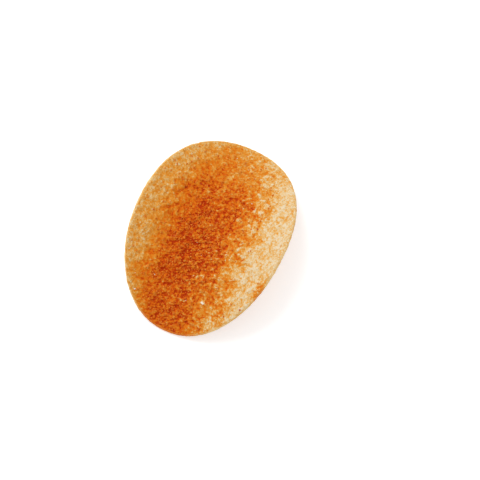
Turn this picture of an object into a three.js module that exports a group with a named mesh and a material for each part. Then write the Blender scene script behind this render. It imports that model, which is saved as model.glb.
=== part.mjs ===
// One saddle-shaped oval potato crisp, lying on its two drooping tips with its seasoned trough upwards.
// Millimetres, +Z up. The origin is on the surface that the crisp rests on, below the middle of its outline,
// and +X runs along its length.
import * as THREE from "three";

// Outline of the crisp seen from above
const crispLength = 63;
const crispWidth = 45.5;
const outlinePower = 2.2; // 2 is a plain ellipse, and a larger power squares its shoulders

// Saddle: the two tips droop and the two long sides rise
const tipDrop = 7.7;
const sideRise = 6.3;

// Fried sheet
const wallThickness = 1.25;
const rimRounding = 0.4;

// Slow waves that the sheet takes on while it fries
const waveHeight = 0.15;
const waveLength = 19;
const waveTurn = THREE.MathUtils.degToRad(24);
const calmRimPower = 6; // waves and blisters fade out at the rim, later with a larger power

// Steam blisters, lifted from the upper or the lower skin
const blisterCount = 34;
const blisterSpread = 0.86; // share of the outline that they fill
const smallestBlister = 1.9;
const largestBlister = 3.6;
const blisterSteepness = 0.13; // height over radius
const lowerSkinTurn = 3; // every third blister is on the lower skin
const spiralStart = 0.5; // in blisters, which keeps the first one off the very middle

// Fineness of the faceted surface
const ringsPerSkin = 20;
const sectors = 84;
const cornerSteps = 2;

const halfLength = crispLength / 2;
const halfWidth = crispWidth / 2;
const halfWall = wallThickness / 2;
const goldenAngle = Math.PI * (3 - Math.sqrt(5));
const goldenShare = (Math.sqrt(5) - 1) / 2;

// Distance from the middle to the outline, in plan
function outlineRadius(angle) {
  const along = Math.abs(Math.cos(angle)) / halfLength;
  const across = Math.abs(Math.sin(angle)) / halfWidth;
  return (along ** outlinePower + across ** outlinePower) ** (-1 / outlinePower);
}

function saddleHeight(x, y) {
  return sideRise * (y / halfWidth) ** 2 - tipDrop * (x / halfLength) ** 2;
}

function saddleNormal(x, y) {
  const slopeAlong = (-2 * tipDrop * x) / halfLength ** 2;
  const slopeAcross = (2 * sideRise * y) / halfWidth ** 2;
  return new THREE.Vector3(-slopeAlong, -slopeAcross, 1).normalize();
}

// Both skins follow the waves together, so they leave the wall as thick as it was
function waveOffset(x, y) {
  const along = (2 * Math.PI * (x * Math.cos(waveTurn) + y * Math.sin(waveTurn))) / waveLength;
  const across = (2 * Math.PI * (y * Math.cos(waveTurn) - x * Math.sin(waveTurn))) / waveLength;
  return waveHeight * Math.sin(along) * Math.cos(across);
}

// Blisters lie on a sunflower spiral, in turn on the two skins
function makeBlisters() {
  const blisters = [];
  for (let i = 0; i < blisterCount; i++) {
    const angle = i * goldenAngle;
    const reach = blisterSpread * Math.sqrt((i + spiralStart) / blisterCount) * outlineRadius(angle);
    const sizeShare = (i * goldenShare) % 1;
    const radius = smallestBlister + (largestBlister - smallestBlister) * sizeShare;
    blisters.push({
      x: reach * Math.cos(angle),
      y: reach * Math.sin(angle),
      radius,
      height: blisterSteepness * radius,
      onTop: i % lowerSkinTurn !== lowerSkinTurn - 1,
    });
  }
  return blisters;
}

const blisters = makeBlisters();

// How far the blisters lift one skin at a point in plan
function blisterLift(x, y, onTop) {
  let lift = 0;
  for (const blister of blisters) {
    if (blister.onTop !== onTop) continue;
    const share = Math.hypot(x - blister.x, y - blister.y) / blister.radius;
    if (share < 1) lift += blister.height * (1 - share ** 2) ** 2;
  }
  return lift;
}

// Section of the flat round blank: lower skin, rounded rim, upper skin. It starts and ends on the axis.
function blankSection() {
  const flatRadius = halfLength - rimRounding;
  const points = [];
  for (let ring = 0; ring <= ringsPerSkin; ring++) {
    points.push(new THREE.Vector2((flatRadius * ring) / ringsPerSkin, -halfWall));
  }
  for (const side of [-1, 1]) {
    for (let step = 0; step <= cornerSteps; step++) {
      const turn = ((side < 0 ? step : cornerSteps - step) / cornerSteps) * (Math.PI / 2);
      const point = new THREE.Vector2(
        flatRadius + rimRounding * Math.sin(turn),
        side * (halfWall - rimRounding + rimRounding * Math.cos(turn)),
      );
      if (step > 0 || side > 0) points.push(point);
    }
  }
  for (let ring = ringsPerSkin - 1; ring >= 0; ring--) {
    points.push(new THREE.Vector2((flatRadius * ring) / ringsPerSkin, halfWall));
  }
  return points;
}

// Presses the flat round blank into the oval saddle
function pressedCrisp() {
  const blank = new THREE.LatheGeometry(blankSection(), sectors);
  blank.rotateX(Math.PI / 2);
  const position = blank.getAttribute("position");
  const flatRadius = halfLength - rimRounding;
  const point = new THREE.Vector3();
  for (let i = 0; i < position.count; i++) {
    point.fromBufferAttribute(position, i);
    const blankRadius = Math.hypot(point.x, point.y);
    const angle = Math.atan2(point.y, point.x);
    const edge = outlineRadius(angle);
    const flatShare = Math.min(blankRadius / flatRadius, 1);
    const pastFlat = Math.max(blankRadius - flatRadius, 0);
    const planRadius = flatShare * (edge - rimRounding) + pastFlat;
    const x = planRadius * Math.cos(angle);
    const y = planRadius * Math.sin(angle);
    const side = Math.sign(point.z);
    const lift = side * blisterLift(x, y, side > 0) + waveOffset(x, y);
    const relief = lift * (1 - flatShare ** calmRimPower);
    const normal = saddleNormal(x, y);
    const middle = new THREE.Vector3(x, y, saddleHeight(x, y));
    middle.addScaledVector(normal, point.z + relief);
    position.setXYZ(i, middle.x, middle.y, middle.z);
  }
  return blank;
}

// Moves the crisp so that it rests on the plane z = 0, centred on the origin
function setDown(geometry) {
  geometry.computeBoundingBox();
  const low = geometry.boundingBox.min;
  const high = geometry.boundingBox.max;
  geometry.translate(-(low.x + high.x) / 2, -(low.y + high.y) / 2, -low.z);
  geometry.deleteAttribute("uv");
  geometry.computeVertexNormals();
  return geometry;
}

const friedDough = new THREE.MeshStandardMaterial({
  color: 0xd9862f,
  roughness: 0.72,
  metalness: 0,
});

const crisp = new THREE.Mesh(setDown(pressedCrisp()), friedDough);
crisp.name = "crisp";

const part = new THREE.Group();
part.add(crisp);

export default part;
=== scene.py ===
import math

import bpy
import numpy as np
from mathutils import Euler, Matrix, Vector, noise


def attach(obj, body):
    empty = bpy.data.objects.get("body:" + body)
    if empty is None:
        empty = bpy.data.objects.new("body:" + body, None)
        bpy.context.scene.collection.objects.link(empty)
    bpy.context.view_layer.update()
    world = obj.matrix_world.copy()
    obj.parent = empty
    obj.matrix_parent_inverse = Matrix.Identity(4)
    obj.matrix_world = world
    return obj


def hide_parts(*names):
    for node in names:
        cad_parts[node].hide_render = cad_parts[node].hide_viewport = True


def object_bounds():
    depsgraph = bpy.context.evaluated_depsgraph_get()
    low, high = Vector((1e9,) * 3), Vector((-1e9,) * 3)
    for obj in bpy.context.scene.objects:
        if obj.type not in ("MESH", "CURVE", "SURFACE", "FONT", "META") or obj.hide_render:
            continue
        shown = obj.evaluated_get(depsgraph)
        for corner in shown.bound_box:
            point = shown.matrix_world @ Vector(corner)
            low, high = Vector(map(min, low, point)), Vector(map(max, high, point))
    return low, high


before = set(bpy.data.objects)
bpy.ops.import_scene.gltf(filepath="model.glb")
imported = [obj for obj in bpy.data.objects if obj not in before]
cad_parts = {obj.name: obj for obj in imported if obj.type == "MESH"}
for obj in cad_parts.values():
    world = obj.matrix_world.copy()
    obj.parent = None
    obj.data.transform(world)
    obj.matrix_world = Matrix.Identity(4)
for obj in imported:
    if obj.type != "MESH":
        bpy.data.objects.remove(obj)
cadLow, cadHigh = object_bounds()
halfLength = (cadHigh.x - cadLow.x) / 2
halfWidth = (cadHigh.y - cadLow.y) / 2
mm = 0.001


# Small helpers for objects

def pick(piece):
    bpy.ops.object.select_all(action="DESELECT")
    piece.select_set(True)
    bpy.context.view_layer.objects.active = piece


def modify(piece, kind, **settings):  # adds one modifier and applies it at once
    pick(piece)
    modifier = piece.modifiers.new(kind.title(), kind)
    for name, value in settings.items():
        setattr(modifier, name, value)
    bpy.ops.object.modifier_apply(modifier=modifier.name)


def readPoints(piece, field="co"):
    values = np.zeros(len(piece.data.vertices) * 3, np.float32)
    if field == "normal":
        piece.data.vertex_normals.foreach_get("vector", values)
    else:
        piece.data.vertices.foreach_get("co", values)
    return values.reshape(-1, 3)


def writeAttribute(piece, name, values):
    field = piece.data.attributes.new(name, "FLOAT", "POINT")
    field.data.foreach_set("value", np.asarray(values, np.float32))


def writeGroup(piece, name, values, steps=20):  # a vertex group with weights in even steps
    group = piece.vertex_groups.new(name=name)
    nearest = np.round(np.clip(values, 0, 1) * steps).astype(int)
    for step in range(1, steps + 1):
        group.add(np.nonzero(nearest == step)[0].tolist(), step / steps, "REPLACE")


# Small helpers for nodes

def colour(red, green, blue):  # from display values of 0 to 255
    shares = [value / 255 for value in (red, green, blue)]
    linear = [s / 12.92 if s <= 0.04 else ((s + 0.055) / 1.055) ** 2.4 for s in shares]
    return (*linear, 1.0)


def addNode(tree, kind, sockets=None, **settings):
    node = tree.nodes.new(kind)
    for name, value in settings.items():
        setattr(node, name, value)
    for name, value in (sockets or {}).items():
        if isinstance(value, bpy.types.NodeSocket):
            tree.links.new(value, node.inputs[name])
        else:
            node.inputs[name].default_value = value
    return node


def calc(tree, operation, a, b=0.0):
    return addNode(tree, "ShaderNodeMath", {0: a, 1: b}, operation=operation).outputs[0]


def span(tree, value, low, high, toLow=0.0, toHigh=1.0):  # smooth step between two values
    sockets = {0: value, 1: low, 2: high, 3: toLow, 4: toHigh}
    return addNode(tree, "ShaderNodeMapRange", sockets, interpolation_type="SMOOTHSTEP").outputs[0]


def mixColour(tree, share, a, b):
    return addNode(tree, "ShaderNodeMix", {0: share, 6: a, 7: b}, data_type="RGBA").outputs[2]


def ramp(tree, value, stops):
    node = addNode(tree, "ShaderNodeValToRGB", {0: value})
    elements = node.color_ramp.elements
    while len(elements) < len(stops):
        elements.new(0.5)
    for element, (place, tone) in zip(elements, stops):
        element.position = place
        element.color = tone
    return node.outputs[0]


def cloud(tree, vector, scale, detail=2.0, roughness=0.5, distortion=0.0):
    sockets = {"Vector": vector, "Scale": scale, "Detail": detail, "Roughness": roughness,
               "Distortion": distortion}
    return addNode(tree, "ShaderNodeTexNoise", sockets).outputs[0]


def cells(tree, vector, scale):
    return addNode(tree, "ShaderNodeTexVoronoi", {"Vector": vector, "Scale": scale})


def attribute(tree, name):
    return addNode(tree, "ShaderNodeAttribute", attribute_name=name).outputs[2]


def scaled(tree, vector, factor):
    return addNode(tree, "ShaderNodeVectorMath", {0: vector, 3: factor}, operation="SCALE").outputs[0]


def drawnOut(tree, vector, scale):  # by its own scale along each axis
    return addNode(tree, "ShaderNodeMapping", {"Vector": vector, "Scale": scale}).outputs[0]


def millimetres(tree):  # object coordinates in millimetres
    return scaled(tree, addNode(tree, "ShaderNodeTexCoord").outputs["Object"], 1 / mm)


def newMaterial(name):
    material = bpy.data.materials.new(name)
    material.use_nodes = True
    tree = material.node_tree
    tree.nodes.clear()
    shader = addNode(tree, "ShaderNodeBsdfPrincipled")
    output = addNode(tree, "ShaderNodeOutputMaterial")
    tree.links.new(shader.outputs[0], output.inputs[0])
    return material, tree, shader


# The fried sheet

crispShape = {
    "merge": 0.002 * mm,  # for the doubles of the copied mesh
    "voxel": 0.27 * mm,
    "smoothFactor": 0.5,
    "smoothing": 6,
    "outlinePower": 2.2,  # 2 is a plain ellipse
    "clouds": {  # size, depth, height, and the vertex group that limits each relief
        "blisters": (1.6 * mm, 1, 0.42 * mm, "calmRim"),
        "crumb": (0.7 * mm, 1, 0.32 * mm, "calmRim"),
        "powder": (0.56 * mm, 2, 0.5 * mm, "powder"),
        "cutFace": (0.42 * mm, 2, 0.16 * mm, "cutFace"),
    },
    "bubbles": {"spacing": 3.4 * mm, "height": 0.22 * mm, "reach": 0.4},
    "pits": {"spacing": 2.6 * mm, "depth": 0.3 * mm, "reach": 0.22},
    "upperFrom": (-0.15, 0.35),  # z of the normal, where the upper side begins and is full
    "sheetFrom": (-0.2, 0.8),  # mm in from the rim, where bubbles and pits begin and are full
    "cutFaceTo": (0.1, 0.6),  # where the relief of the cut face fades, in mm in from the rim
    "calmTo": (0.0, 1.5),  # where blisters, crumb and wrinkles grow to their full height
    "leastAtRim": 0.35,  # blisters and crumb keep this share of their height there
    "fineSteps": 60,  # weight steps of the groups for wrinkles and creases
}

ridgeShape = {  # lengths in mm, for the wrinkles that run slantwise across the sheet
    "height": 0.26,
    "across": 1.05,
    "stretch": 2.4,
    "direction": (0.44, -0.9),
    "thinness": 3.2,
    "leastHeight": 0.3,  # share of the height that is left where no powder lies
    "calmZone": (12.0, 24.0),  # towards the left tip, where the wrinkles get lower
    "calmAmount": 0.5,
    "seed": 14.2,
}

creaseShape = {  # lengths in mm
    "depth": 0.26,
    "width": 0.42,
    "powder": 0.14,  # what gathers in a crease, which also paints the crease's shadow line darker
    "wanderSize": 1.6,
    "wander": 0.3,
    "seed": 21.4,
    "lines": [((4.2, 14.4), (10.2, 11.4)), ((-2.4, 16.5), (4.1, 10.7))],  # start and end, x and y
}

powderBand = {  # lengths in mm
    "middle": 1.2,
    "reachUp": 23.0,  # how far it thins out towards +y, and towards -y
    "reachDown": 18.5,
    "edge": (0.1, 1.0),  # in shares of that reach
    "patchSize": 4.2,
    "patchAmount": 0.17,
    "fineSize": 1.5,
    "fineAmount": 0.1,
    "evenAmount": 0.6,  # the +y side is dusted more evenly
    "evenZone": (5.0, 14.0),
    "fadeStart": 8.0,  # along the crisp, from where it gets thinner
    "fadeRight": 0.74,
    "fadeLeft": 0.14,
    "hazeAndShade": 0.23,  # a thin even dusting on the +y side, which also paints that flank's shade, as it faces away from the key light
    "hazeAndShadeZone": (-4.0, 10.0),
    "rimFade": 0.5,  # on the +y side the powder thins out towards the rim
    "rimFadeZone": (2.0, 12.0),
    "rimFadeReach": 4.5,
    "seeds": (3.1, 9.7, 5.3),  # of the patches, the fine noise and the patches' outlines
    "wanderSize": 1.1,
    "wander": 0.5,
    "patchEdge": (0.3, 1.4),
    "patches": [  # x and y, half length, half width, and how much more or less powder lies there
        (-12.0, -20.8, 3.8, 1.2, 0.6),
        (16.5, 2.4, 4.5, 1.1, -0.4),
        (-7.0, 5.2, 6.5, 4.5, 0.14),
        (10.0, -4.6, 5.0, 2.6, 0.12),
        (0.5, 2.0, 2.6, 2.6, -0.1),
        (-13.0, 16.5, 7.0, 3.4, -0.2),
        (-8.5, -1.0, 5.5, 6.0, 0.14),
        (10.0, 0.0, 6.0, 2.6, -0.14),
        (18.0, -7.0, 5.0, 3.4, -0.16),
        (10.5, -12.6, 4.0, 1.7, 0.22),
        (3.4, -12.0, 2.2, 2.0, -0.14),
        (-22.5, -13.4, 3.4, 2.4, 0.24),
        (7.0, 20.0, 4.0, 2.2, -0.1),
        (14.0, 11.0, 9.0, 6.0, -0.07),
        (-14.0, -9.5, 7.0, 4.5, 0.07),
        (-18.5, -2.5, 4.0, 3.0, 0.12),
        (0.5, -9.5, 2.6, 3.0, 0.12),
        (15.0, -12.0, 3.0, 2.2, 0.14),
        (19.5, 0.0, 4.5, 2.2, -0.16),
        (26.0, 6.0, 3.4, 3.0, 0.12),
    ],
    "most": 1.15,
}

flattened = [1, 1, 0.2]  # makes noise run through the sheet, so both skins share it


def smoothShare(value, low, high):
    share = np.clip((value - low) / (high - low), 0, 1)
    return share * share * (3 - 2 * share)


def noiseAt(points, size, octaves, seed):  # about -1 to 1 at points in millimetres
    offset = Vector((seed, seed * 0.7, seed * 1.3))
    values = [noise.fractal(Vector(p) / size + offset, 1.0, 2.0, octaves) for p in points.tolist()]
    return np.array(values)


def powderShare(points, rimDistance):
    band = powderBand
    patchSeed, fineSeed, wanderSeed = band["seeds"]
    x, y = points[:, 0], points[:, 1] - band["middle"]
    flat = points * flattened
    across = np.where(y > 0, y / band["reachUp"], -y / band["reachDown"])
    uneven = noiseAt(flat, band["patchSize"], 3, patchSeed) * band["patchAmount"]
    uneven = uneven + noiseAt(flat, band["fineSize"], 2, fineSeed) * band["fineAmount"]
    across = across + uneven * (1 - band["evenAmount"] * smoothShare(y, *band["evenZone"]))
    fade = np.where(x > 0, band["fadeRight"], band["fadeLeft"])
    along = 1 - fade * smoothShare(np.abs(x), band["fadeStart"], halfLength / mm)
    share = (1 - smoothShare(across, *band["edge"])) * along
    wander = noiseAt(flat, band["wanderSize"], 2, wanderSeed) * band["wander"]
    for middleX, middleY, halfLong, halfWide, more in band["patches"]:
        away = np.hypot((x - middleX) / halfLong, (points[:, 1] - middleY) / halfWide) + wander
        share = share + more * (1 - smoothShare(away, *band["patchEdge"]))
    # Painted shade with the dusting: the +y flank is made more golden
    hazeAndShade = band["hazeAndShade"] * smoothShare(y, *band["hazeAndShadeZone"])
    share = np.clip(np.maximum(share, hazeAndShade), 0, band["most"])
    nearRim = 1 - smoothShare(rimDistance, 0, band["rimFadeReach"])
    bare = smoothShare(points[:, 1], *band["rimFadeZone"]) * nearRim
    return share * (1 - band["rimFade"] * bare)


def ridgeShare(points):
    look = ridgeShape
    alongX, alongY = look["direction"]
    along = points[:, 0] * alongX + points[:, 1] * alongY
    across = points[:, 1] * alongX - points[:, 0] * alongY
    stretched = np.stack([along / look["stretch"], across, np.zeros(len(points))], 1)
    valley = np.abs(noiseAt(stretched, look["across"], 2, look["seed"])) * look["thinness"]
    calm = 1 - look["calmAmount"] * smoothShare(-points[:, 0], *look["calmZone"])
    return np.clip(1 - valley, 0, 1) * calm


def creaseShare(points):
    look = creaseShape
    share = np.zeros(len(points))
    wander = noiseAt(points * flattened, look["wanderSize"], 2, look["seed"]) * look["wander"]
    for start, end in look["lines"]:
        run = np.array(end) - start
        place = np.clip((points[:, :2] - start) @ run / (run @ run), 0, 1)
        nearest = np.array(start) + place[:, None] * run
        away = np.hypot(*(points[:, :2] - nearest).T) + wander
        depth = 1 - np.abs(2 * place - 1) ** 3  # the crease runs out at both ends
        share = np.maximum(share, depth * np.exp(-(away / look["width"]) ** 2))
    return share


def cloudTexture(name, size, depth):
    pattern = bpy.data.textures.new(name, "CLOUDS")
    pattern.noise_scale = size
    pattern.noise_depth = depth
    return pattern


def spotTexture(name, spacing, reach, middle, around, blend):  # a grey spot in the middle of each cell
    pattern = bpy.data.textures.new(name, "VORONOI")
    pattern.noise_scale = spacing
    pattern.use_color_ramp = True
    pattern.color_ramp.interpolation = blend
    inner, outer = pattern.color_ramp.elements
    inner.color = (middle, middle, middle, 1)
    outer.color = (around, around, around, 1)
    outer.position = reach
    return pattern


def startCrisp():  # a smooth even mesh over a copy of the CAD node
    look = crispShape
    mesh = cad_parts["crisp"].data.copy()
    crisp = bpy.data.objects.new("crisp_dough", mesh)
    bpy.context.scene.collection.objects.link(crisp)
    mesh.materials.clear()
    pick(crisp)
    bpy.ops.object.mode_set(mode="EDIT")
    bpy.ops.mesh.select_all(action="SELECT")
    bpy.ops.mesh.remove_doubles(threshold=look["merge"])
    bpy.ops.object.mode_set(mode="OBJECT")
    modify(crisp, "REMESH", mode="VOXEL", voxel_size=look["voxel"])
    modify(crisp, "SMOOTH", factor=look["smoothFactor"], iterations=look["smoothing"])
    return crisp


def raiseRelief(crisp):  # blisters, crumb, powder and cut face, then wrinkles, creases, bubbles and pits
    look = crispShape
    for name, (size, depth, height, group) in look["clouds"].items():
        pattern = cloudTexture(name, size, depth)
        modify(crisp, "DISPLACE", texture=pattern, strength=height, mid_level=0.5,
               texture_coords="LOCAL", vertex_group=group)
    modify(crisp, "DISPLACE", strength=ridgeShape["height"] * mm, mid_level=0.0, vertex_group="ridges")
    modify(crisp, "DISPLACE", strength=-creaseShape["depth"] * mm, mid_level=0.0, vertex_group="creases")
    bubbles = spotTexture("bubbles", look["bubbles"]["spacing"], look["bubbles"]["reach"], 1, 0, "EASE")
    modify(crisp, "DISPLACE", texture=bubbles, strength=look["bubbles"]["height"], mid_level=0.0,
           texture_coords="LOCAL", vertex_group="sheet")
    pits = spotTexture("pits", look["pits"]["spacing"], look["pits"]["reach"], 0, 1, "LINEAR")
    modify(crisp, "DISPLACE", texture=pits, strength=look["pits"]["depth"], mid_level=1.0,
           texture_coords="LOCAL", vertex_group="sheet")


def makeCrisp():
    look = crispShape
    crisp = startCrisp()
    before = readPoints(crisp)
    normals = readPoints(crisp, "normal")
    points = before / mm

    # Places on the smooth sheet: side, distance from the rim, creases and powder
    upper = smoothShare(normals[:, 2], *look["upperFrom"])
    power = look["outlinePower"]
    lengthwise = np.abs(before[:, 0] / halfLength) ** power
    crosswise = np.abs(before[:, 1] / halfWidth) ** power
    outline = (lengthwise + crosswise) ** (1 / power)  # 1 at the rim
    reach = np.hypot(points[:, 0], points[:, 1])
    rimDistance = reach / np.maximum(outline, 0.01) - reach
    crease = creaseShare(points) * upper
    dusting = powderShare(points, rimDistance)
    # Powder in the creases, which also paints their shadow lines darker
    powder = dusting * upper + crease * creaseShape["powder"]

    calm = smoothShare(rimDistance, *look["calmTo"])
    least = ridgeShape["leastHeight"]
    ridges = ridgeShare(points) * calm * (least + (1 - least) * powder)
    writeGroup(crisp, "powder", powder)
    writeGroup(crisp, "sheet", smoothShare(rimDistance, *look["sheetFrom"]))
    writeGroup(crisp, "cutFace", 1 - smoothShare(rimDistance, *look["cutFaceTo"]))
    writeGroup(crisp, "calmRim", look["leastAtRim"] + (1 - look["leastAtRim"]) * calm)
    writeGroup(crisp, "ridges", ridges, look["fineSteps"])
    writeGroup(crisp, "creases", crease, look["fineSteps"])
    raiseRelief(crisp)

    lift = np.einsum("ij,ij->i", readPoints(crisp) - before, normals) / mm
    writeAttribute(crisp, "upper", upper)
    writeAttribute(crisp, "rim", rimDistance)
    writeAttribute(crisp, "powderShare", powder)
    writeAttribute(crisp, "dusting", dusting)
    writeAttribute(crisp, "lift", lift)
    pick(crisp)
    bpy.ops.object.shade_smooth()
    print("crisp sheet:", len(crisp.data.polygons), "faces, lift", lift.min(), lift.max())
    return crisp


# Colours of the dough and its seasoning

tones = {
    "pale": colour(236, 216, 182),
    "cream": colour(232, 200, 145),
    "golden": colour(230, 168, 80),
    "amber": colour(226, 140, 38),
    "orange": colour(225, 118, 16),
    "rust": colour(217, 94, 10),
    "redBrown": colour(184, 52, 3),
    "rimCream": colour(250, 214, 150),
    "bare": colour(244, 201, 148),
    "beige": colour(235, 175, 112),
    "tan": colour(214, 140, 72),
    "toast": colour(176, 94, 40),
    "fleck": colour(206, 106, 30),
}

doughNoise = {  # scale per mm, detail, roughness and distortion
    "mottle": (0.8, 3.0, 0.62, 0.4),
    "freckles": (0.9, 2.0, 0.5, 0.5),
    "threads": (0.75, 3.0, 0.6, 0.6),
    "patches": (0.2, 2.0, 0.5),
    "grain": (1.7, 2.0, 0.55, 0.3),
    "fine": (3.6, 2.0, 0.6),
    "flecks": (0.6, 3.0, 0.6),
    "layers": (0.9, 3.0, 0.6),
}

doughLook = {
    "rolled": (0.65, 1.0, 1.0),  # scales that draw a noise out along an axis
    "combed": (1.9, 0.72, 1.0),
    "layered": (0.4, 0.4, 2.4),
    "freckleEdge": (0.54, 0.7),
    "veinEdge": (0.06, 0.0),
    "lumpScale": 0.95,
    "lumpWander": 1.3,
    "lumpShift": 0.9,
    "base": 0.2,  # seasoning density of plain dough, and what powder adds
    "powder": 0.8,
    "wide": {"patches": 0.16},  # noises and their weights: broad ones, grains and spots
    "grains": {"grain": 0.82, "fine": 0.62},
    "grainStrength": (0.68, 0.56),  # on plain dough, and what powder adds
    "grainBySide": (-16.0, -7.0, 1.3, 1.12),  # stronger towards -y: y and strength at both ends
    "spots": {"mottle": 0.28, "veins": 0.12, "freckles": 0.14, "lumps": 0.3},
    "reliefDustAndShade": 0.75,  # how much paler bumps and darker crevices are painted: powder held in the crevices, and painted light and shade of the relief
    "spotStrength": (0.42, 1.0),
    "spotBySide": (-16.0, 8.0, 1.5, 0.88),
    "upperStops": ((0.0, "pale"), (0.12, "cream"), (0.27, "golden"), (0.42, "amber"), (0.58, "orange"),
                   (0.75, "rust"), (0.96, "redBrown")),
    "toastBase": 0.4,
    "toasting": {"mottle": 0.7, "patches": 0.75, "grain": 0.35, "fine": 0.15},
    # painted shade of the underside's relief: hollows browner, raised places paler
    "hollowToastAndShade": 0.9,
    "fringeZone": (2.2, 0.5),  # mm in from the rim
    "fringe": 0.22,
    "underStops": ((0.2, "bare"), (0.42, "beige"), (0.64, "tan"), (0.9, "toast")),
    "fleckEdge": (0.57, 0.69),
    "fleckAmount": 0.8,
    "layerEdge": (0.42, 0.68),
    "rimPowder": (0.2, 0.7, 0.0, 0.85),  # from little to much dusting, and how far it hides the cut face
    "cutEdge": (0.85, 0.4),  # mm in from the rim
    "cutWander": 0.3,
    "cutAmount": 0.85,
    "roughness": (0.45, 0.35),  # least, and what the grain adds
    "specular": 0.06,
    "relief": {"grain": 0.6, "fine": 0.5, "lumps": -0.3},
    "reliefHeight": 0.28 * mm,
}


def weighted(tree, base, noises, weights):  # adds centred noises, each with its weight
    for name, weight in weights.items():
        part = calc(tree, "MULTIPLY", calc(tree, "SUBTRACT", noises[name], 0.5), weight)
        base = calc(tree, "ADD", base, part)
    return base


def strengthened(tree, value, powder, y, strength, bySide):
    least, more = strength
    value = calc(tree, "MULTIPLY", value, calc(tree, "ADD", least, calc(tree, "MULTIPLY", powder, more)))
    return calc(tree, "MULTIPLY", value, span(tree, y, *bySide))


def doughPatterns(tree, place, powder):
    look = doughLook
    rolled = drawnOut(tree, place, look["rolled"])  # the dough was rolled lengthwise
    patterns = {
        "mottle": cloud(tree, rolled, *doughNoise["mottle"]),
        "freckles": span(tree, cloud(tree, place, *doughNoise["freckles"]), *look["freckleEdge"]),
        "patches": cloud(tree, place, *doughNoise["patches"]),
        "fine": cloud(tree, place, *doughNoise["fine"]),
    }
    thread = calc(tree, "SUBTRACT", cloud(tree, rolled, *doughNoise["threads"]), 0.5)
    patterns["veins"] = span(tree, calc(tree, "ABSOLUTE", thread), *look["veinEdge"])

    # In the powder the grain is combed along the wrinkles
    alongX, alongY = ridgeShape["direction"]
    sockets = {"Vector": place, "Rotation": (0, 0, math.atan2(alongY, alongX)), "Scale": look["combed"]}
    slant = addNode(tree, "ShaderNodeMapping", sockets, vector_type="TEXTURE").outputs[0]
    even = cloud(tree, place, *doughNoise["grain"])
    combed = cloud(tree, slant, *doughNoise["grain"])
    turning = calc(tree, "MULTIPLY", calc(tree, "SUBTRACT", combed, even), powder)
    patterns["grain"] = calc(tree, "ADD", even, turning)

    # Lumps are cells with wandering borders
    sockets = {"Vector": place, "Scale": look["lumpWander"]}
    wander = addNode(tree, "ShaderNodeTexNoise", sockets).outputs[1]
    sockets = {0: place, 1: scaled(tree, wander, look["lumpShift"])}
    shifted = addNode(tree, "ShaderNodeVectorMath", sockets, operation="ADD").outputs[0]
    patterns["lumps"] = cells(tree, shifted, look["lumpScale"]).outputs["Distance"]
    return patterns


def seasonedTone(tree, place, powder, lift, patterns):  # bumps are painted paler and crevices darker: crevices hold more powder, and this also paints the light and shade of the relief
    look = doughLook
    y = addNode(tree, "ShaderNodeSeparateXYZ", {0: place}).outputs["Y"]
    density = weighted(tree, calc(tree, "MULTIPLY", powder, look["powder"]), patterns, look["wide"])
    grains = weighted(tree, 0.0, patterns, look["grains"])
    grains = strengthened(tree, grains, powder, y, look["grainStrength"], look["grainBySide"])
    spots = weighted(tree, 0.0, patterns, look["spots"])
    # Painted light and shade of the relief: raised places paler, crevices darker
    spots = calc(tree, "SUBTRACT", spots, calc(tree, "MULTIPLY", lift, look["reliefDustAndShade"]))
    spots = strengthened(tree, spots, powder, y, look["spotStrength"], look["spotBySide"])
    spots = calc(tree, "ADD", spots, look["base"])
    density = calc(tree, "ADD", calc(tree, "ADD", density, grains), spots)
    return ramp(tree, density, [(stop, tones[tone]) for stop, tone in look["upperStops"]])


def undersideTone(tree, place, rim, lift, patterns):  # toasted, with flecks and a browner fringe; hollows are painted browner and raised places paler, as painted shade of the relief
    look = doughLook
    fringe = calc(tree, "MULTIPLY", span(tree, rim, *look["fringeZone"]), look["fringe"])
    toasting = weighted(tree, fringe, patterns, look["toasting"])
    # Painted shade: hollows browner and raised places paler, by the relief's height
    toasting = calc(tree, "SUBTRACT", toasting, calc(tree, "MULTIPLY", lift, look["hollowToastAndShade"]))
    plain = ramp(tree, calc(tree, "ADD", toasting, look["toastBase"]),
                 [(stop, tones[tone]) for stop, tone in look["underStops"]])
    flecks = span(tree, cloud(tree, place, *doughNoise["flecks"]), *look["fleckEdge"])
    return mixColour(tree, calc(tree, "MULTIPLY", flecks, look["fleckAmount"]), plain, tones["fleck"])


def cutFaceTone(tree, place):  # shows the sheet's layers, dusted where the powder reaches the rim
    look = doughLook
    layers = cloud(tree, drawnOut(tree, place, look["layered"]), *doughNoise["layers"])
    bare = mixColour(tree, span(tree, layers, *look["layerEdge"]), tones["rimCream"], tones["golden"])
    dusted = span(tree, attribute(tree, "dusting"), *look["rimPowder"])
    return mixColour(tree, dusted, bare, tones["orange"])


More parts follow.
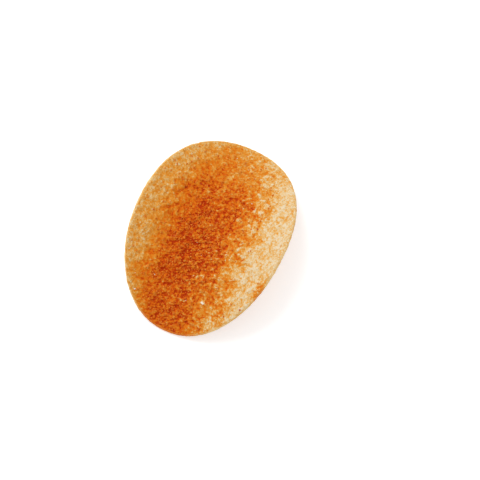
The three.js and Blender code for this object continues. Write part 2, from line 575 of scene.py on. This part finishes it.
def paintDough():
    look = doughLook
    material, tree, shader = newMaterial("friedDough")
    place = millimetres(tree)
    powder = attribute(tree, "powderShare")
    rim = attribute(tree, "rim")
    lift = attribute(tree, "lift")
    patterns = doughPatterns(tree, place, powder)
    body = mixColour(tree, attribute(tree, "upper"), undersideTone(tree, place, rim, lift, patterns),
                     seasonedTone(tree, place, powder, lift, patterns))
    wander = calc(tree, "MULTIPLY", patterns["mottle"], look["cutWander"])
    edge = span(tree, calc(tree, "ADD", rim, wander), *look["cutEdge"])
    edge = calc(tree, "MULTIPLY", edge, look["cutAmount"])
    body = mixColour(tree, edge, body, cutFaceTone(tree, place))
    tree.links.new(body, shader.inputs["Base Color"])

    least, more = look["roughness"]
    rough = calc(tree, "ADD", least, calc(tree, "MULTIPLY", patterns["grain"], more))
    tree.links.new(rough, shader.inputs["Roughness"])
    shader.inputs["Specular IOR Level"].default_value = look["specular"]
    relief = weighted(tree, 0.5, patterns, look["relief"])
    sockets = {"Strength": 1.0, "Distance": look["reliefHeight"], "Height": relief}
    tree.links.new(addNode(tree, "ShaderNodeBump", sockets).outputs[0], shader.inputs["Normal"])
    return material


# Loose seasoning on the upper side

crumbLook = {
    "across": 0.5 * mm,
    "squash": 0.7,
    "narrowing": 0.12,  # from one kind to the next
    "raise": 0.1,  # of the middle above the surface, as a share of the width
    "kinds": 3,
    "roughen": 0.12 * mm,
    "perSquareMm": 1.6,
    "everywhere": 0.01,  # density off the powder, as a share
    "scale": (0.4, 1.3),
    "tilt": 0.5,
    "seed": 11,
    "light": colour(242, 152, 54),
    "dark": colour(204, 80, 8),
    "roughness": 0.5,
    "coat": 0.0,
}
flakeLook = {
    "across": 0.85 * mm,
    "sides": 7,
    "thick": 0.09 * mm,
    "raise": 0.6,  # as a share of the thickness
    "narrowest": 0.55,
    "widening": 0.15,
    "kinds": 3,
    "roughen": 0.1 * mm,
    "perSquareMm": 0.006,
    "everywhere": 0.5,
    "scale": (0.35, 0.9),
    "tilt": 0.2,
    "seed": 5,
    "light": colour(206, 84, 28),
    "dark": colour(172, 52, 14),
    "roughness": 0.5,
    "coat": 0.1,
}
saltLook = {
    "across": 0.4 * mm,
    "sides": (1.25, 0.75, 0.55),
    "raise": 0.2,
    "bevel": 0.05 * mm,
    "perSquareMm": 0.006,
    "everywhere": 0.6,
    "scale": (0.4, 0.8),
    "tilt": 0.5,
    "seed": 23,
    "large": [(-20.5, -7.2, 2.0), (-25.3, 12.6, 1.2)],  # x and y in mm, and scale
    "facingUp": 0.3,  # least z of the normal where a large one lies
    "light": colour(252, 242, 224),
    "dark": colour(238, 218, 186),
    "roughness": 0.35,
    "coat": 0.2,
}
looseLook = {  # shared by all three
    "gathering": 1.5,  # power of the powder share
    "clearOfRim": (0.5, 1.3),  # mm in from the rim
    "toneCells": 2.2,  # per mm
    "speckles": (5.0, 2.0, 0.6),
    "toneWeight": 0.75,
    "speckleWeight": 0.3,
    "coatRoughness": 0.25,
    "specular": 0.15,
    "bumpStrength": 0.7,
    "bumpHeight": 0.08 * mm,
}


def makeCrumb(kind):  # a squashed lump, with its middle a little above the surface
    look = crumbLook
    bpy.ops.object.select_all(action="DESELECT")
    bpy.ops.mesh.primitive_ico_sphere_add(subdivisions=1, radius=look["across"] / 2,
                                          location=(0, 0, look["across"] * look["raise"]))
    bpy.ops.object.mode_set(mode="EDIT")
    bpy.ops.transform.resize(value=(1.0, 1 - look["narrowing"] * kind, look["squash"]))
    bpy.ops.transform.vertex_random(offset=look["roughen"], seed=kind + 1)
    bpy.ops.object.mode_set(mode="OBJECT")
    bpy.ops.object.shade_smooth()
    bpy.ops.object.transform_apply(location=True, rotation=True, scale=True)
    return bpy.context.object


def makeFlake(kind):  # a thin dark scale of paprika
    look = flakeLook
    bpy.ops.object.select_all(action="DESELECT")
    height = look["thick"] * look["raise"]
    bpy.ops.mesh.primitive_cylinder_add(vertices=look["sides"], radius=look["across"] / 2,
                                        depth=look["thick"], location=(0, 0, height))
    bpy.ops.object.mode_set(mode="EDIT")
    bpy.ops.transform.resize(value=(1.0, look["narrowest"] + look["widening"] * kind, 1.0))
    bpy.ops.transform.vertex_random(offset=look["roughen"], seed=kind + 7, normal=0.0)
    bpy.ops.mesh.select_all(action="SELECT")
    bpy.ops.mesh.quads_convert_to_tris()
    bpy.ops.object.mode_set(mode="OBJECT")
    bpy.ops.object.transform_apply(location=True, rotation=True, scale=True)
    return bpy.context.object


def makeSalt():  # a small block with bevelled edges
    look = saltLook
    bpy.ops.object.select_all(action="DESELECT")
    bpy.ops.mesh.primitive_cube_add(size=look["across"], location=(0, 0, look["across"] * look["raise"]))
    bpy.ops.object.mode_set(mode="EDIT")
    bpy.ops.mesh.select_all(action="SELECT")
    bpy.ops.transform.resize(value=look["sides"])
    bpy.ops.mesh.bevel(offset=look["bevel"], segments=1, affect="EDGES")
    bpy.ops.object.mode_set(mode="OBJECT")
    bpy.ops.object.transform_apply(location=True, rotation=True, scale=True)
    return bpy.context.object


def placeLarge(shape, carrier, look):  # copies at chosen places on the upper side, seated on the sheet
    points = readPoints(carrier)
    normals = readPoints(carrier, "normal")
    placed = []
    for x, y, scale in look["large"]:
        away = np.hypot(points[:, 0] - x * mm, points[:, 1] - y * mm) + (normals[:, 2] < look["facingUp"])
        spot = int(np.argmin(away))
        copy = shape.copy()
        copy.data = shape.data.copy()
        bpy.context.scene.collection.objects.link(copy)
        copy.location = points[spot].tolist()
        copy.rotation_euler = Vector(normals[spot].tolist()).to_track_quat("Z", "Y").to_euler()
        copy.scale = (scale, scale, scale)
        pick(copy)
        bpy.ops.object.transform_apply(location=True, rotation=True, scale=True)
        placed.append(copy)
    return placed


def joinInto(piece, others):
    pick(piece)
    for other in others:
        other.select_set(True)
    bpy.ops.object.join()


def scatterDensity(tree, look):  # points on a square metre, mostly in the powder and clear of the rim
    fields = {name: addNode(tree, "GeometryNodeInputNamedAttribute", {"Name": name}).outputs[0]
              for name in ("powderShare", "upper", "rim")}
    gathered = calc(tree, "POWER", fields["powderShare"], looseLook["gathering"])
    share = calc(tree, "ADD", gathered, calc(tree, "MULTIPLY", fields["upper"], look["everywhere"]))
    inside = span(tree, fields["rim"], *looseLook["clearOfRim"])
    return calc(tree, "MULTIPLY", calc(tree, "MULTIPLY", share, inside), look["perSquareMm"] / mm ** 2)


def scatter(name, carrier, shapes, look):
    store = bpy.data.collections.new(name + "Shapes")
    bpy.context.scene.collection.children.link(store)
    for shape in shapes:
        for owner in shape.users_collection:
            owner.objects.unlink(shape)
        store.objects.link(shape)
    piece = bpy.data.objects.new(name, carrier.data.copy())
    bpy.context.scene.collection.objects.link(piece)

    tree = bpy.data.node_groups.new(name + "Scatter", "GeometryNodeTree")
    tree.interface.new_socket("Geometry", in_out="INPUT", socket_type="NodeSocketGeometry")
    tree.interface.new_socket("Geometry", in_out="OUTPUT", socket_type="NodeSocketGeometry")
    start = addNode(tree, "NodeGroupInput")
    density = scatterDensity(tree, look)
    sockets = {"Mesh": start.outputs[0], "Density": density, "Seed": look["seed"]}
    spots = addNode(tree, "GeometryNodeDistributePointsOnFaces", sockets)
    tilt = look["tilt"]
    sockets = {0: (-tilt, -tilt, 0), 1: (tilt, tilt, 2 * math.pi), "Seed": look["seed"] + 1}
    spin = addNode(tree, "FunctionNodeRandomValue", sockets, data_type="FLOAT_VECTOR")
    sockets = {0: spots.outputs["Rotation"], 1: spin.outputs[0]}
    turned = addNode(tree, "FunctionNodeRotateRotation", sockets, rotation_space="LOCAL")
    smallest, largest = look["scale"]
    sockets = {2: smallest, 3: largest, "Seed": look["seed"] + 2}
    size = addNode(tree, "FunctionNodeRandomValue", sockets, data_type="FLOAT")
    kinds = addNode(tree, "GeometryNodeCollectionInfo", {0: store, 1: True, 2: True})
    sockets = {"Points": spots.outputs[0], "Instance": kinds.outputs[0], "Pick Instance": True,
               "Rotation": turned.outputs[0], "Scale": size.outputs[1]}
    placed = addNode(tree, "GeometryNodeInstanceOnPoints", sockets)
    solid = addNode(tree, "GeometryNodeRealizeInstances", {0: placed.outputs[0]})
    end = addNode(tree, "NodeGroupOutput")
    tree.links.new(solid.outputs[0], end.inputs[0])
    modify(piece, "NODES", node_group=tree)
    for shape in shapes:
        bpy.data.objects.remove(shape)
    bpy.data.collections.remove(store)
    print(name + ":", len(piece.data.polygons), "faces")
    return piece


def makeSpeckle():  # the node group that makes the tone uneven from grain to grain, with fine speckles
    look = looseLook
    tree = bpy.data.node_groups.new("grainSpeckle", "ShaderNodeTree")
    tree.interface.new_socket("Place", in_out="INPUT", socket_type="NodeSocketVector")
    tree.interface.new_socket("Light", in_out="INPUT", socket_type="NodeSocketColor")
    tree.interface.new_socket("Dark", in_out="INPUT", socket_type="NodeSocketColor")
    tree.interface.new_socket("Tone", in_out="OUTPUT", socket_type="NodeSocketColor")
    tree.interface.new_socket("Speckle", in_out="OUTPUT", socket_type="NodeSocketFloat")
    start = addNode(tree, "NodeGroupInput")
    tone = cells(tree, start.outputs["Place"], look["toneCells"]).outputs["Color"]
    lightness = addNode(tree, "ShaderNodeSeparateColor", {0: tone}).outputs[0]
    speckle = cloud(tree, start.outputs["Place"], *look["speckles"])
    share = calc(tree, "ADD", calc(tree, "MULTIPLY", lightness, look["toneWeight"]),
                 calc(tree, "MULTIPLY", speckle, look["speckleWeight"]))
    mixed = mixColour(tree, share, start.outputs["Dark"], start.outputs["Light"])
    addNode(tree, "NodeGroupOutput", {"Tone": mixed, "Speckle": speckle})
    return tree


def paintLoose(name, group, look):
    material, tree, shader = newMaterial(name)
    grains = addNode(tree, "ShaderNodeGroup", node_tree=group)
    tree.links.new(millimetres(tree), grains.inputs["Place"])
    grains.inputs["Light"].default_value = look["light"]
    grains.inputs["Dark"].default_value = look["dark"]
    tree.links.new(grains.outputs["Tone"], shader.inputs["Base Color"])
    shader.inputs["Roughness"].default_value = look["roughness"]
    shader.inputs["Coat Weight"].default_value = look["coat"]
    shader.inputs["Coat Roughness"].default_value = looseLook["coatRoughness"]
    shader.inputs["Specular IOR Level"].default_value = looseLook["specular"]
    sockets = {"Strength": looseLook["bumpStrength"], "Distance": looseLook["bumpHeight"],
               "Height": grains.outputs["Speckle"]}
    tree.links.new(addNode(tree, "ShaderNodeBump", sockets).outputs[0], shader.inputs["Normal"])
    return material


# Build

crisp = makeCrisp()
crisp.data.materials.append(paintDough())

crumbs = [makeCrumb(kind) for kind in range(crumbLook["kinds"])]
flakes = [makeFlake(kind) for kind in range(flakeLook["kinds"])]
salts = [makeSalt()]
speckleGroup = makeSpeckle()
for name, shapes, look in (("seasoningCrumb", crumbs, crumbLook), ("paprikaFlake", flakes, flakeLook),
                           ("saltCrystal", salts, saltLook)):
    material = paintLoose(name, speckleGroup, look)
    for shape in shapes:
        shape.data.materials.append(material)
crumbPiece = scatter("seasoning_crumbs", crisp, crumbs, crumbLook)
flakePiece = scatter("paprika_flakes", crisp, flakes, flakeLook)
largeSalts = placeLarge(salts[0], crisp, saltLook)
saltPiece = scatter("salt_crystals", crisp, salts, saltLook)
joinInto(saltPiece, largeSalts)

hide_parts("crisp")
for piece in (crisp, crumbPiece, flakePiece, saltPiece):
    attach(piece, "root")
print("crisp placed")

# Floor, light and camera

cameraLook = {
    "turn": (17.5, -2.1, -64.1),  # degrees about x, y and z, in that order
    "aim": Vector((0, 0, 8.1 * mm)),  # the middle of the saddle
    "distance": 0.4,
    "pixelsPerMm": 3.381,  # at the middle of the saddle
    "aimPixel": (211.2, 231.1),
    "imageSize": 480,
    "sensor": 36,
    "clip": (0.01, 10),
}

floorLook = {"size": 3.0, "tone": colour(250, 250, 250), "glow": 0.4, "roughness": 0.9}
lightLook = {
    "world": 0.61,
    "key": {"energy": 3.2, "size": 0.45, "distance": 0.75, "direction": Vector((-0.52, 0.85, 0.72))},
    "fill": {"energy": 0.9, "size": 0.6, "distance": 0.75, "direction": Vector((0.85, -0.5, 0.4))},
}


def makeFloor():
    bpy.ops.object.select_all(action="DESELECT")
    bpy.ops.mesh.primitive_plane_add(size=floorLook["size"], location=(0, 0, 0))
    floor = bpy.context.object
    floor.name = "floor"
    material, tree, shader = newMaterial("whiteFloor")
    shader.inputs["Base Color"].default_value = floorLook["tone"]
    shader.inputs["Roughness"].default_value = floorLook["roughness"]
    shader.inputs["Specular IOR Level"].default_value = 0.0
    shader.inputs["Emission Color"].default_value = (1, 1, 1, 1)
    seen = addNode(tree, "ShaderNodeLightPath").outputs["Is Camera Ray"]
    glow = calc(tree, "MULTIPLY", seen, floorLook["glow"])
    tree.links.new(glow, shader.inputs["Emission Strength"])
    floor.data.materials.append(material)


def makeLights(view):  # the lamps' directions are seen from the camera
    world = bpy.data.worlds.new("studio")
    bpy.context.scene.world = world
    world.use_nodes = True
    tree = world.node_tree
    tree.nodes.clear()
    seen = addNode(tree, "ShaderNodeLightPath").outputs["Is Camera Ray"]
    strength = addNode(tree, "ShaderNodeMapRange", {0: seen, 3: lightLook["world"], 4: 1.0}).outputs[0]
    background = addNode(tree, "ShaderNodeBackground", {"Color": (1, 1, 1, 1), "Strength": strength})
    output = addNode(tree, "ShaderNodeOutputWorld")
    tree.links.new(background.outputs[0], output.inputs[0])
    for name in ("key", "fill"):
        look = lightLook[name]
        direction = (view @ look["direction"]).normalized()
        place = cameraLook["aim"] + direction * look["distance"]
        turn = direction.to_track_quat("Z", "Y").to_euler()
        bpy.ops.object.light_add(type="AREA", location=place, rotation=turn)
        lamp = bpy.context.object
        lamp.name = name + "Light"
        lamp.data.energy = look["energy"]
        lamp.data.size = look["size"]


def makeCamera(view):
    look = cameraLook
    focal = look["pixelsPerMm"] * look["distance"] / mm  # in pixels
    middle = look["imageSize"] / 2
    aside = math.atan((middle - look["aimPixel"][0]) / focal)
    down = math.atan((look["aimPixel"][1] - middle) / focal)
    place = look["aim"] + view @ Vector((0, 0, look["distance"]))
    turn = (view @ Euler((down, -aside, 0)).to_matrix()).to_euler()
    bpy.ops.object.camera_add(location=place, rotation=turn)
    camera = bpy.context.object
    camera.name = "photoCamera"
    camera.data.sensor_width = look["sensor"]
    camera.data.lens = look["sensor"] * focal / look["imageSize"]
    camera.data.clip_start, camera.data.clip_end = look["clip"]
    bpy.context.scene.camera = camera


bpy.context.scene.view_settings.view_transform = "Standard"
viewTurn = Euler([math.radians(a) for a in cameraLook["turn"]]).to_matrix()
makeFloor()
makeLights(viewTurn)
makeCamera(viewTurn)
print("floor, light and camera placed")
